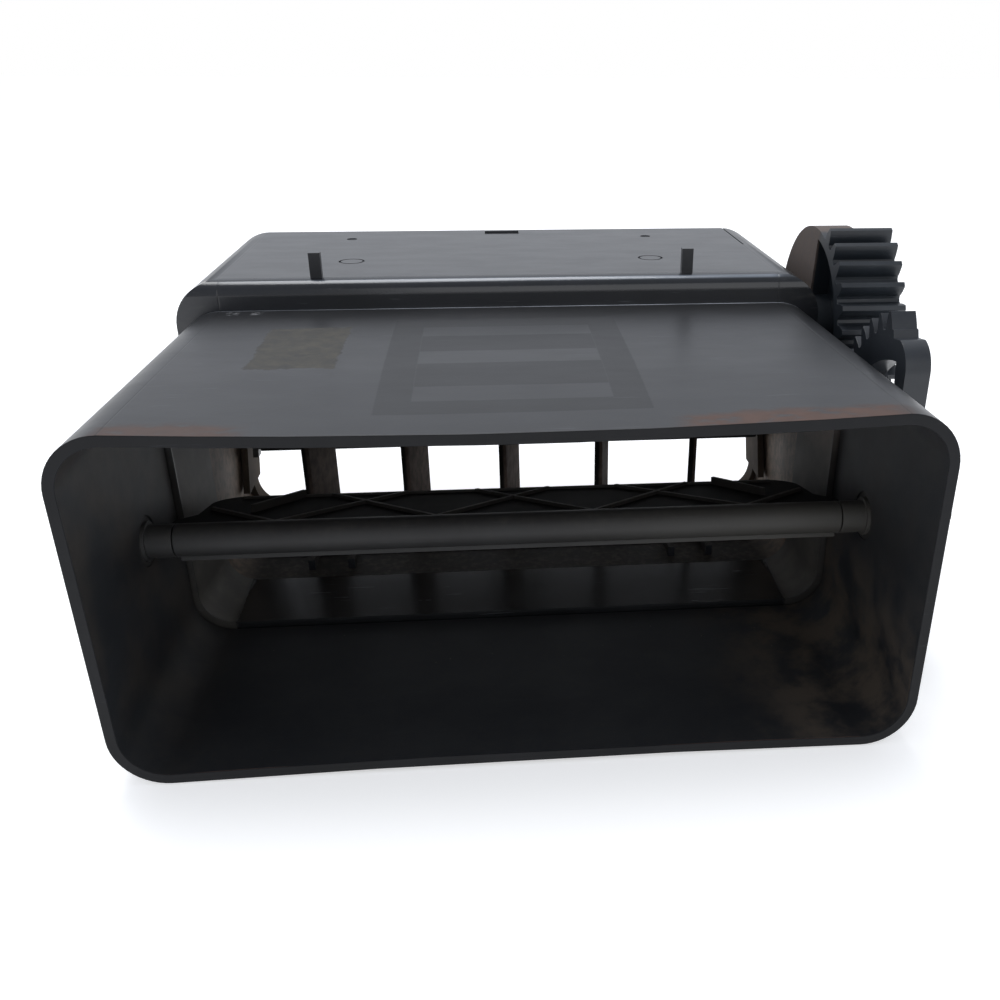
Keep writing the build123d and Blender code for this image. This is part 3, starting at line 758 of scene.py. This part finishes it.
@dataclass
class OutletHousing:
    """Outlet housing: glossier lid, dark shoulder, scratched funnel and dusty throat."""

    node: str = "outlet_housing"
    seam_mm: float = 64.0
    crest_mm: Range = (80.6, 84.4)
    crest_z_mm: Range = (70.4, 71.4)
    glint_mm: Range = (82.3, 83.1)
    glint_z_mm: Range = (71.4, 72.4)
    glint_fade_mm: Range = (62.0, 66.0)
    corner_mm: Range = (60.0, 72.0)
    funnel_ends_mm: Range = (63.4, 64.6)
    funnel_lip_mm: Range = (53.0, 53.8)
    cheek_mm: Range = (62.0, 69.0)
    cavity_half_mm: float = 72.9
    cavity_z_mm: Range = (2.2, 71.9)
    axis_z_mm: float = 34.0
    shoulder_mm: Range = (80.0, 82.0)
    spigot_end_mm: float = 53.6
    funnel_end_mm: float = 72.5

    def outer_finish(self) -> Material:
        """Moulded ABS lid: glossier than the duct, with a painted highlight along its crest.

        Returns:
            The material.
        """
        coat = MouldedPlastic("moulded_abs_housing_outside", dust_amount=0.05, roughness=0.30,
                              base="14171c", pale="191c22", scratches=0.4, specular=0.65,
                              seed=4.0).start()
        p = coat.p
        side = p.math("ABSOLUTE", p.x)
        seam = p.window_mm(side, (self.seam_mm - WITNESS_MM, self.seam_mm + WITNESS_MM), 0.12)
        coat.tint(seam, "0a0b0c", 0.7)
        coat.lift(seam, -2.0)
        crest = p.multiply(p.window_mm(p.y, self.crest_mm, 0.3), p.ramp_mm(p.z, *self.crest_z_mm))
        coat.dull(crest, -0.14)
        # Painted highlight: a pale line along the crest's rounding, stronger to the right and weaker at
        # the sides.
        glint = p.multiply(p.window_mm(p.y, self.glint_mm, 0.3), p.ramp_mm(p.z, *self.glint_z_mm),
                           p.ramp_mm(p.x, -72, 10, 0.3, 1.0),
                           p.ramp_mm(side, *self.glint_fade_mm, 1.0, 0.2),
                           p.lerp(p.noise(9, 4, stretch=(0.4, 1, 1), seed=62), 0.5, 1.0))
        coat.tint(glint, "9aa2ad", 0.75)
        rub = p.span(p.noise(3, 7, stretch=(0.4, 1, 1), seed=61), 0.55, 0.75)
        corner = p.multiply(p.ramp_mm(side, *self.corner_mm), rub, p.ramp_mm(p.z, *self.corner_mm))
        coat.tint(corner, "6a6762", 0.35)
        return coat.close(0.03)

    def funnel_finish(self) -> Material:
        """Moulded ABS lead-in: polished and wiped across, so it mirrors the gaps between vanes.

        Its rounded ends are matt and pale with dust.

        Returns:
            The material.
        """
        coat = MouldedPlastic("moulded_abs_funnel", dust="4f4a3c", dust_amount=0.10, roughness=0.18,
                              base="1b1c1e", pale="232426", scratches=0.35, specular=0.9, seed=6.0,
                              scratch_along=(0.03, 1.0, 1.0)).start()
        p = coat.p
        side = p.multiply(p.ramp_mm(p.math("ABSOLUTE", p.x), *self.funnel_ends_mm),
                          p.ramp_mm(p.y, *self.funnel_lip_mm, 0.4, 1.0))
        upper = p.mix(p.ramp_mm(p.x, -10, 10), linear("26241f"), linear("7d7167"))
        tone = p.mix(p.ramp_mm(p.z, 34, 46), linear("625e57"), upper)
        grime = p.lerp(p.span(p.noise(6, 6, seed=70), 0.4, 0.7), 0.6, 1.0)
        coat.tint(p.multiply(grime, side), tone, 0.8)
        coat.dull(side, 0.36)
        coat.lift(p.noise(0.9, 4, stretch=(0.06, 1.0, 1.0), seed=72), 1.0)
        return coat.close(0.03)

    def throat_finish(self) -> Material:
        """Moulded ABS floor and cheeks past the step: dead matt under a felt of brown dust.

        Returns:
            The material.
        """
        coat = MouldedPlastic("moulded_abs_throat", dust="8a837a", dust_amount=0.45, roughness=0.6,
                              base="2c2b2a", pale="383634", scratches=0.2, specular=0.25,
                              seed=8.0).start()
        p = coat.p
        side = p.ramp_mm(p.math("ABSOLUTE", p.x), *self.cheek_mm)
        felt = p.span(p.noise(2.2, 8, seed=75), 0.35, 0.65)
        coat.tint(p.multiply(side, p.lerp(felt, 0.45, 0.9)), "8b7a6b")
        coat.lift(p.noise(0.6, 6, seed=78), 0.8)
        return coat.close(0.06)

    def zone(self, centre: Vector, normal: Vector) -> HousingZone:
        """Sort a face into outside, funnel or throat.

        Args:
            centre: The face's centre.
            normal: Its normal.

        Returns:
            Its zone.
        """
        low, high = self.cavity_z_mm
        inside = abs(centre.x) < self.cavity_half_mm * MM and low * MM < centre.z < high * MM
        inward = normal.dot(Vector((-centre.x, 0, self.axis_z_mm * MM - centre.z))) > 0
        faces_mouth = normal.y < -0.5
        if faces_mouth and centre.y < self.spigot_end_mm * MM:
            return HousingZone.FUNNEL
        near, far = self.shoulder_mm
        if not inside or not inward or (faces_mouth and near * MM < centre.y < far * MM):
            return HousingZone.OUTSIDE
        return HousingZone.FUNNEL if centre.y < self.funnel_end_mm * MM else HousingZone.THROAT

    def build(self) -> None:
        """Make the housing piece."""
        piece = moulding(self.node, "housing_shell", 0.4, "housing_abs", self.outer_finish(),
                         self.funnel_finish(), self.throat_finish(), segments=3)
        paint_faces(piece, self.zone)


# ---- gears
@dataclass
class GearTrain:
    """Drive gear, idler and both sectors in moulded acetal."""

    axis_y_mm: float = 94.92
    axis_z_mm: float = 57.97
    blank_r_mm: float = 24.7
    near_face_mm: float = 76.1
    quadrant_lean: float = 0.16

    def dusty_finish(self) -> Material:
        """Moulded acetal drive gear: clean bluish teeth, brown dust on the smooth front quadrant.

        Returns:
            The material.
        """
        coat = MouldedPlastic("moulded_acetal_drive_gear", base="20252b", pale="2a3036",
                              dust_amount=0.06, roughness=0.38, scratches=0.3, seed=10.0).start()
        p = coat.p
        dy = p.math("SUBTRACT", p.y, self.axis_y_mm * MM)
        dz = p.math("SUBTRACT", p.z, self.axis_z_mm * MM)
        reach = p.math("SQRT", p.math("ADD", p.multiply(dy, dy), p.multiply(dz, dz)))
        blank = self.blank_r_mm
        smooth_part = p.ramp_mm(reach, blank + 0.2, blank + 0.6, 1.0, 0.0)
        front = p.ramp_mm(p.math("ADD", dy, p.math("MULTIPLY", dz, self.quadrant_lean)), -2.0, 0.5)
        near = p.ramp_mm(p.x, self.near_face_mm - 0.2, self.near_face_mm + 0.2, 1.0, 0.0)
        proud = p.math("MAXIMUM", near, p.ramp_mm(reach, blank - 1.2, blank - 0.8))
        felt = p.span(p.noise(1.2, 8, seed=83), 0.3, 0.7)
        brown = p.multiply(smooth_part, front, proud, p.lerp(felt, 0.72, 1.0))
        coat.tint(brown, "6f625a", 0.85)
        coat.dull(brown, 0.4)
        coat.lift(brown, p.noise(FINE_GRAIN_MM, 5, seed=86))
        return coat.close(0.04)

    def build(self) -> None:
        """Make the gears."""
        dusty = self.dusty_finish()
        # Moulded acetal: waxy, faintly blue, with a soft highlight along each tooth.
        clean = MouldedPlastic("moulded_acetal_gear", base="20242a", pale="2b3036", dust_amount=0.08,
                               roughness=0.36, scratches=0.3, seed=12.0).build()
        for node, name, radius_mm, finish in (
                ("drive_gear", "drive_gear_wheel", 0.28, dusty),
                ("lower_leaf_sector_gear", "lower_sector_wheel", 0.5, clean),
                ("upper_leaf_sector_gear", "upper_sector_wheel", 0.3, clean),
                ("idler_gear", "idler_wheel", 0.25, clean)):
            moulding(node, name, radius_mm, "gear_pom", finish)


# ---- damper
class LeafZone(Enum):
    """Which finish a face of a leaf takes, by material slot."""

    BARREL = 0
    PLATE = 1
    RIB = 2


@dataclass
class Damper:
    """Both damper leaves with their barrel, ribs and lips."""

    axis_y_mm: float = 33.0
    axis_z_mm: float = 33.8
    rest_tilt: float = 12.0
    rib_foot_mm: float = 0.87
    barrel_r_mm: float = 5.5
    # x range of the painted light on the barrel
    painted_lift_mm: Range = (-10.0, 70.0)

    def barrel_finish(self) -> Material:
        """Moulded PP barrel: satin, with a pale olive film that thickens to the right; the film is
        painted light that lifts the bar where the duct walls shade it.

        Returns:
            The material.
        """
        look = MouldedPlastic("moulded_pp_damper_barrel", base="1e1e20", pale="242527",
                              dust="6b6257", dust_amount=0.12, roughness=0.56, scratches=0.1,
                              specular=0.4, seed=14.0)
        coat = look.start()
        # Painted light: a paler olive tone rising to the right, in place of the light the duct walls
        # shade off the bar.
        coat.tint(coat.p.ramp_mm(coat.p.x, *self.painted_lift_mm, 0.15, 1.0), "4c4a45", 0.6)
        return coat.close(look.grain_depth_mm)

    def zone(self, centre: Vector, normal: Vector) -> LeafZone:
        """Sort a face by its place along and above the tilted plate.

        Args:
            centre: The face's centre.
            normal: Its normal, which doesn't matter here.

        Returns:
            Its zone.
        """
        tilt = math.radians(self.rest_tilt)
        along = centre.y - self.axis_y_mm * MM
        above = centre.z - self.axis_z_mm * MM
        height = math.sin(tilt) * along + math.cos(tilt) * above
        if along < self.barrel_r_mm * MM:
            return LeafZone.BARREL
        return LeafZone.RIB if height > self.rib_foot_mm * MM else LeafZone.PLATE

    def build(self) -> None:
        """Make the leaves."""
        barrel = self.barrel_finish()
        # Moulded PP plate: dead matt, so it stays dark against the bright gaps.
        plate = MouldedPlastic("moulded_pp_damper_plate", base="121213", pale="18181a",
                               dust_amount=0.04, roughness=0.8, scratches=0.05, specular=0.08,
                               seed=15.0).build()
        # The same PP with a little dust, painted paler on the ribs as a painted highlight, which draws
        # them as thin pale lines.
        ribs = MouldedPlastic("moulded_pp_dusty_rib", base="3c3a38", pale="4a4744",
                              dust_amount=0.2, roughness=0.7, scratches=0.0, specular=0.2,
                              seed=15.5).build()
        for node, name in (("damper_upper_leaf", "upper_leaf_moulding"),
                           ("damper_lower_leaf", "lower_leaf_moulding")):
            paint_faces(moulding(node, name, 0.25, "leaf_pp", barrel, plate, ribs), self.zone)


# ---- vanes and louvres
@dataclass
class Vanes:
    """Upright vanes, their strips and link bar."""

    count: int = 5

    def vane_finish(self, number: int) -> Material:
        """Moulded PP vane: matt, and brown with dust on the side that looks right.

        Args:
            number: Which vane; the dust thickens from the first to the third.

        Returns:
            The material.
        """
        coat = MouldedPlastic(f"moulded_pp_vane_{number}", base="161413", pale="1e1b19",
                              dust="7d7066", dust_amount=0.12, roughness=0.7, scratches=0.1,
                              specular=0.12, seed=16.0 + number).start()
        p = coat.p
        right_side = p.span(p.nx, -0.2, 0.6)
        felt = p.span(p.noise(2.6, 8, seed=90.0 + number), 0.3, 0.7)
        worn = 0.20 + 0.20 * min(number, 3)
        coat.tint(p.multiply(right_side, p.lerp(felt, 0.5, 1.0)), "7a6a61", worn)
        coat.dull(right_side, 0.15)
        return coat.close(0.05)

    def build(self) -> None:
        """Make the vanes, the strips and the link bars."""
        for number in range(1, self.count + 1):
            moulding(f"upright_vane_{number}", f"vane_blade_{number}", 0.3, "vane_pp",
                     self.vane_finish(number))
        # Moulded PP strip at the bottom of the air path: grey-brown with settled dust.
        strip = MouldedPlastic("moulded_pp_strip", dust="7d7066", dust_amount=0.4, roughness=0.55,
                               seed=24.0).build()
        # Moulded acetal link bar: a shade paler and smoother than the vanes it joins.
        link = MouldedPlastic("moulded_acetal_link", base="242424", pale="303030", dust_amount=0.2,
                              seed=26.0).build()
        for node, name, radius_mm, slot, finish in (
                ("lower_bearing_strip", "lower_strip", 0.25, "strip_pp", strip),
                ("upper_bearing_strip", "upper_strip", 0.25, "strip_pp", strip),
                ("upright_vane_link", "vane_link_bar", 0.2, "link_pom", link),
                ("cross_louvre_link", "louvre_link_bar", 0.2, "link_pom", link)):
            moulding(node, name, radius_mm, slot, finish)


class FrameZone(Enum):
    """Which finish a face of the front frame takes, by material slot."""

    GRAINED = 0
    DUSTY = 1


@dataclass
class Cassette:
    """Front frame, cross louvres and the direction knob."""

    louvres: int = 3

    @staticmethod
    def frame_zone(centre: Vector, normal: Vector) -> FrameZone:
        """Dust lies on faces that look into the duct or towards the frame's middle."""
        dusty = normal.y < -0.2 or normal.x * centre.x < -0.3 * MM
        return FrameZone.DUSTY if dusty else FrameZone.GRAINED

    def build(self) -> None:
        """Make the louvre cassette."""
        # Spark-eroded grain on the faces the driver sees: even, matt and black.
        grained = MouldedPlastic("grained_abs_louvre", base="17181a", pale="1e2022", dust_amount=0.08,
                                 roughness=0.5, grain_mm=0.6, grain_depth_mm=0.05, scratches=0.1,
                                 seed=28.0).build()
        # The frame's hidden side, brown like the cheeks beside it.
        dusty = MouldedPlastic("grained_abs_frame_inside", base="3a332d", pale="51473e",
                               dust="8a7b6b", dust_amount=0.3, roughness=0.75, scratches=0.1,
                               specular=0.1, seed=29.0).build()
        bezel = moulding("front_frame", "bezel_frame", 0.4, "frame_abs", grained, dusty, segments=3)
        paint_faces(bezel, self.frame_zone)
        for number in range(1, self.louvres + 1):
            moulding(f"cross_louvre_{number}", f"louvre_blade_{number}", 0.3, "louvre_abs", grained)
        # Polished ABS knob, worn shiny by fingers.
        shiny = MouldedPlastic("polished_abs_knob", base="141517", pale="1a1b1d", dust_amount=0.04,
                               roughness=0.25, scratches=0.3, seed=30.0).build()
        moulding("direction_knob", "knob_slider", 0.3, "knob_abs", shiny)


@dataclass
class Grit:
    """Loose grains of plaster and grit lying on the duct floor and in the funnel's corner."""

    body: str = "duct"
    floor_mm: Patch = (-66.0, 66.0, 5.0, 50.0)
    corner_mm: Patch = (40.0, 64.0, 12.0, 50.0)
    height_mm: float = 2.0
    thin: float = 4500.0
    thick: float = 22000.0

    def tree(self, material: Material) -> Tree:
        """Geometry nodes that strew small uneven grains over a surface.

        Args:
            material: The grains' finish.

        Returns:
            The node group, with inputs Density, Grain and Seed.
        """
        tree = bpy.data.node_groups.new("strewn_grains", "GeometryNodeTree")
        for name, way, kind in (("Geometry", "INPUT", "NodeSocketGeometry"),
                                ("Density", "INPUT", "NodeSocketFloat"),
                                ("Grain", "INPUT", "NodeSocketFloat"),
                                ("Seed", "INPUT", "NodeSocketInt"),
                                ("Geometry", "OUTPUT", "NodeSocketGeometry")):
            tree.interface.new_socket(name, in_out=way, socket_type=kind)
        source = add(tree, "NodeGroupInput")
        strewn = add(tree, "GeometryNodeDistributePointsOnFaces", Mesh=source.outputs["Geometry"],
                     Density=source.outputs["Density"], Seed=source.outputs["Seed"])
        grain = add(tree, "GeometryNodeMeshIcoSphere", {"Subdivisions": 1},
                    Radius=source.outputs["Grain"])
        size = add(tree, "FunctionNodeRandomValue", {"data_type": "FLOAT_VECTOR"},
                   in0=(0.5, 0.5, 0.35), in1=(1.5, 1.3, 0.8), Seed=source.outputs["Seed"])
        turn = add(tree, "FunctionNodeRandomValue", {"data_type": "FLOAT_VECTOR"},
                   in0=(-0.3, -0.3, 0.0), in1=(0.3, 0.3, math.tau), Seed=source.outputs["Seed"])
        placed = add(tree, "GeometryNodeInstanceOnPoints", Points=strewn.outputs["Points"],
                     Instance=grain.outputs["Mesh"], Rotation=turn.outputs[0],
                     Scale=size.outputs[0])
        real = add(tree, "GeometryNodeRealizeInstances", Geometry=placed.outputs[0])
        dressed = add(tree, "GeometryNodeSetMaterial", Geometry=real.outputs[0])
        dressed.inputs["Material"].default_value = material
        out = add(tree, "NodeGroupOutput")
        tree.links.new(dressed.outputs[0], out.inputs[0])
        return tree

    def strew(self, tree: Tree, name: str, patch_mm: Patch,
              density: float, grain_mm: float, seed: int) -> None:
        """Strew one patch and leave it as a plain mesh.

        Args:
            tree: The node group.
            name: The piece's name.
            patch_mm: Where it lies, as x0, x1, y0, y1.
            density: Grains per square metre.
            grain_mm: Radius of a grain.
            seed: Seed of the pattern.
        """
        x0, x1, y0, y1 = (v * MM for v in patch_mm)
        z = self.height_mm * MM
        mesh = bpy.data.meshes.new(name)
        mesh.from_pydata([(x0, y0, z), (x1, y0, z), (x1, y1, z), (x0, y1, z)], [], [(0, 1, 2, 3)])
        piece = new_piece(name, mesh)
        strewing = piece.modifiers.new("strew", "NODES")
        strewing.node_group = tree
        wanted = {"Density": density, "Grain": grain_mm * MM, "Seed": seed}
        for item in tree.interface.items_tree:
            if item.in_out == "INPUT" and item.name in wanted:
                strewing[item.identifier] = wanted[item.name]
        baked(piece)
        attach(piece, self.body)
        LOG.info("%s: %d faces", name, len(piece.data.polygons))

    def build(self) -> None:
        """Strew the floor thinly and the right corner a little more."""
        # Plaster and grit: chalky grey-brown, so single grains show as specks on the black floor.
        tree = self.tree(MattSkin("plaster_dust_grains", base="57524a").build())
        self.strew(tree, "floor_grit", self.floor_mm, self.thin, 0.14, 3)
        self.strew(tree, "corner_grit", self.corner_mm, self.thick, 0.13, 8)


@dataclass
class SmallHardware:
    """CAD nodes whose shape is right and that only need a finish."""

    steel: tuple[str, ...] = ("idler_clip", "drive_gear_clip", "damper_shaft_clips", "damper_shaft")
    rubber: tuple[str, ...] = ("lower_leaf_seal", "upper_leaf_seal", "knob_friction_pad")
    acetal: tuple[str, ...] = ("damper_bush_left", "damper_bush_right")

    def build(self) -> None:
        """Dress the nodes."""
        # Moulded acetal bush, greyed by wear and dust at the ends of the damper bar.
        bush = MouldedPlastic("moulded_acetal_bush", base="2c2c2d", pale="343433",
                              dust_amount=0.2, roughness=0.6, specular=0.2, seed=32.0).build()
        for names, material in ((self.steel, SpringSteel("oiled_spring_steel").build()),
                                (self.rubber, MattSkin("moulded_tpe").build()),
                                (self.acetal, bush)):
            for name in names:
                dress(frame["nodes"][name], material)
        LOG.info("small hardware dressed")


# ---- studio
@dataclass(frozen=True)
class Softbox:
    """Square area light, with its edge length and its watts."""

    name: str
    place: Point
    size: float
    power: float

    def hang(self, target: Vector) -> None:
        """Hang it so that it looks at a point.

        Args:
            target: The point.
        """
        lamp = bpy.data.lights.new(self.name, "AREA")
        lamp.size = self.size
        lamp.energy = self.power
        box = new_piece(self.name, lamp)
        box.location = self.place
        box.rotation_euler = (target - Vector(self.place)).to_track_quat("-Z", "Y").to_euler()


@dataclass
class Studio:
    """Pale sweep, soft light from above and behind, and the camera."""

    position_mm: Point = (-3.97, -154.91, 122.27)
    yaw: float = 5.74
    pitch: float = 26.71
    roll: float = 0.40
    lens: float = 36.71
    shift: tuple[float, float] = (-0.0895, 0.054)
    floor: str = "f6f6f6"
    floor_glow: float = 0.5
    floor_reach: float = 4.0
    haze: tuple[str, str, str] = ("ffffff", "e6eaf2", "c8ced9")
    haze_heights: Point = (0.03, 0.12, 0.9)
    front_share: float = 0.6
    aim: Point = (0.0, 0.07, 0.03)
    lights: tuple[Softbox, ...] = (Softbox("top_softbox", (-0.1, 0.35, 1.1), 0.6, 6.0),
                                   Softbox("front_fill", (0.3, -1.3, 0.7), 1.0, 2.5))

    def sweep(self) -> None:
        """Wide pale floor, just under the outlet."""
        reach, depth = self.floor_reach, -0.2 * MM
        mesh = bpy.data.meshes.new("sweep")
        mesh.from_pydata([(-reach, -reach, depth), (reach, -reach, depth), (reach, reach, depth),
                          (-reach, reach, depth)], [], [(0, 1, 2, 3)])
        floor = new_piece("studio_sweep", mesh)
        # Painted paper: flat white, with a tooth too fine to cast a shadow.
        p = Paint("painted_paper_sweep")
        dress(floor, p.finish(linear(self.floor), 0.8, p.noise(0.8, 3), 0.01, glow=self.floor_glow))

    def world(self) -> None:
        """Even surroundings: white at the horizon, a cool grey higher up, dimmer before the mouth."""
        world = bpy.data.worlds.new("studio")
        world.use_nodes = True
        tree = world.node_tree
        tree.nodes.clear()
        coord = add(tree, "ShaderNodeTexCoord")
        split = add(tree, "ShaderNodeSeparateXYZ", Vector=coord.outputs["Generated"])
        ramp = add(tree, "ShaderNodeValToRGB", Fac=split.outputs["Z"])
        stops = ramp.color_ramp.elements
        stops[0].position, stops[1].position = self.haze_heights[:2]
        stops.new(self.haze_heights[2])
        for stop, code in zip(stops, self.haze):
            stop.color = linear(code)
        share = add(tree, "ShaderNodeMapRange", in0=split.outputs["Y"], in1=-0.6, in2=0.4,
                    in3=self.front_share, in4=1.0)
        background = add(tree, "ShaderNodeBackground", Color=ramp.outputs[0],
                         Strength=share.outputs[0])
        out = add(tree, "ShaderNodeOutputWorld")
        tree.links.new(background.outputs[0], out.inputs[0])
        bpy.context.scene.world = world

    def camera(self) -> None:
        """Set the camera at the view that shows the mouth and the lid."""
        yaw, pitch, roll = (math.radians(a) for a in (self.yaw, self.pitch, self.roll))
        ahead = Vector((math.sin(yaw) * math.cos(pitch), math.cos(yaw) * math.cos(pitch),
                        -math.sin(pitch)))
        right = Vector((math.cos(yaw), -math.sin(yaw), 0.0))
        up = right.cross(ahead)
        tilted_right = math.cos(roll) * right + math.sin(roll) * up
        tilted_up = math.cos(roll) * up - math.sin(roll) * right
        lens = bpy.data.cameras.new("camera")
        lens.lens = self.lens
        lens.sensor_width = 36.0
        lens.shift_x, lens.shift_y = self.shift
        lens.clip_start = 0.005
        eye = new_piece("camera", lens)
        turn = Matrix((tilted_right, tilted_up, -ahead)).transposed().to_4x4()
        eye.matrix_world = Matrix.Translation(Vector(self.position_mm) * MM) @ turn
        bpy.context.scene.camera = eye

    def build(self) -> None:
        """Set up floor, light and camera."""
        self.sweep()
        self.world()
        for softbox in self.lights:
            softbox.hang(Vector(self.aim))
        bpy.context.scene.view_settings.view_transform = "Standard"
        self.camera()
        LOG.info("studio ready")


def main() -> None:
    """Build the outlet piece by piece and report each."""
    logging.basicConfig(level=logging.INFO, format="%(name)s: %(message)s")
    for part in (InletDuct(), OutletHousing(), GearTrain(), Damper(), Vanes(), Cassette(),
                 Grit(), SmallHardware(), Studio()):
        part.build()


if __name__ == "__main__":
    main()
